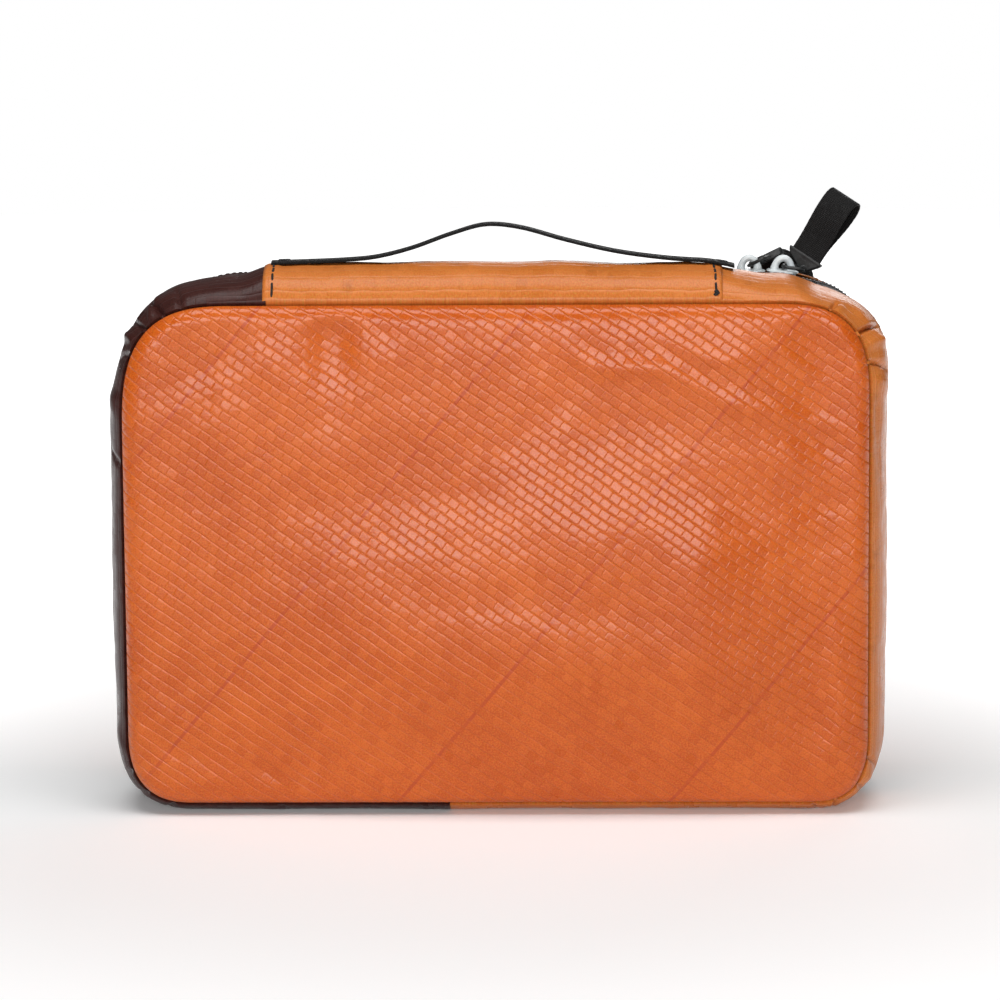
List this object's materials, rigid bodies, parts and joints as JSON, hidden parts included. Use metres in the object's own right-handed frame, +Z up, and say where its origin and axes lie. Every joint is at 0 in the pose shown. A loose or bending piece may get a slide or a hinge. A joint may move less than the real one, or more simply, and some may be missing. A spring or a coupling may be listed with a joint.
{
  "type": "packing cube",
  "caption": "Soft rounded packing cube in orange coated fabric with a brown end, a zipped lid, a webbing carrying handle and webbing zip pulls.",
  "frame": {"origin": "middle of the underside the cube stands on, half way along it", "axes": "+X along the length towards the brown-free end with the zip pulls, -Y out of the front panel, +Z up towards the handle"},
  "size_m": [0.351, 0.1029, 0.2761],
  "materials": {
    "orange_panel": "coated, glossy over a basket weave",
    "orange_strip": "coated, satin over a basket weave",
    "brown_strip": "coated, satin over a basket weave",
    "binding": "matt woven tape",
    "webbing": "matt woven webbing",
    "zip_tape": "matt woven tape",
    "zip_coil": "matt nylon coil",
    "thread": "matt thread",
    "slider": "white, satin to glossy",
    "moulded_black": "satin black moulding"
  },
  "bodies": {
    "tub": {"front_panel": "orange_panel", "gusset_left": "brown_strip", "gusset_right": "orange_strip", "gusset_top": "orange_strip", "front_seam_binding": "binding", "hinge_strip": "orange_strip", "hinge_stitching": "thread", "tub_zip_coil": "zip_coil", "tub_zip_tape": "zip_tape", "tub_zip_stitching": "thread", "zip_stop_left": "moulded_black", "zip_stop_right": "moulded_black", "gusset_stitching_left": "thread", "gusset_stitching_right": "thread", "handle_end_left": "webbing", "handle_end_right": "webbing", "handle_tack_left": "thread", "handle_tack_right": "thread", "handle_leg_left": "webbing", "handle_leg_right": "webbing"},
    "lid": {"lid_panel": "orange_panel", "lid_gusset_left": "brown_strip", "lid_gusset_right": "orange_strip", "lid_seam_binding": "binding", "lid_zip_coil": "zip_coil", "lid_zip_tape": "zip_tape", "lid_zip_stitching": "thread"},
    "handle": {"handle_grip": "webbing"},
    "slider_a": {"slider_a": "slider"},
    "slider_b": {"slider_b": "slider"},
    "ring_a": {"pull_a_ring": "moulded_black"},
    "ring_b": {"pull_b_ring": "moulded_black"},
    "pull_a": {"pull_a_end": "moulded_black", "pull_a_loop": "webbing"},
    "pull_b": {"pull_b_end": "moulded_black", "pull_b_loop": "webbing"}
  },
  "joints": [
    {"name": "lid_open", "type": "hinge", "parent": "tub", "child": "lid", "pos_m": [0, 0.037, 0.0045], "axis": [-1, 0, 0], "range_deg": [0, 80]},
    {"name": "handle_swing", "type": "hinge", "parent": "tub", "child": "handle", "pos_m": [0, -0.0125, 0.2483], "axis": [1, 0, 0], "range_deg": [-55, 50], "deforming": ["handle_leg_left", "handle_leg_right"]},
    {"name": "slider_a_travel", "type": "slide", "parent": "tub", "child": "slider_a", "axis": [-1, 0, 0], "range_m": [0, 0.22]},
    {"name": "slider_b_travel", "type": "hinge", "parent": "tub", "child": "slider_b", "pos_m": [0.124, 0.018, 0.188], "axis": [0, 1, 0], "range_deg": [0, 80]},
    {"name": "ring_a_swing", "type": "hinge", "parent": "slider_a", "child": "ring_a", "pos_m": [0.1134, 0.018, 0.24165], "axis": [0.3312, 0.9435, 0], "range_deg": [-50, 3]},
    {"name": "ring_b_swing", "type": "hinge", "parent": "slider_b", "child": "ring_b", "pos_m": [0.12868, 0.018, 0.24145], "axis": [0, 1, 0], "range_deg": [-22, 0]},
    {"name": "pull_a_flop", "type": "hinge", "parent": "ring_a", "child": "pull_a", "pos_m": [0.11906, 0.0228, 0.24354], "axis": [0.8424, -0.2957, 0.4504], "range_deg": [0, 85]},
    {"name": "pull_b_flop", "type": "hinge", "parent": "ring_b", "child": "pull_b", "pos_m": [0.13798, 0.018, 0.24013], "axis": [0, 1, 0], "range_deg": [-12, 40]}
  ]
}
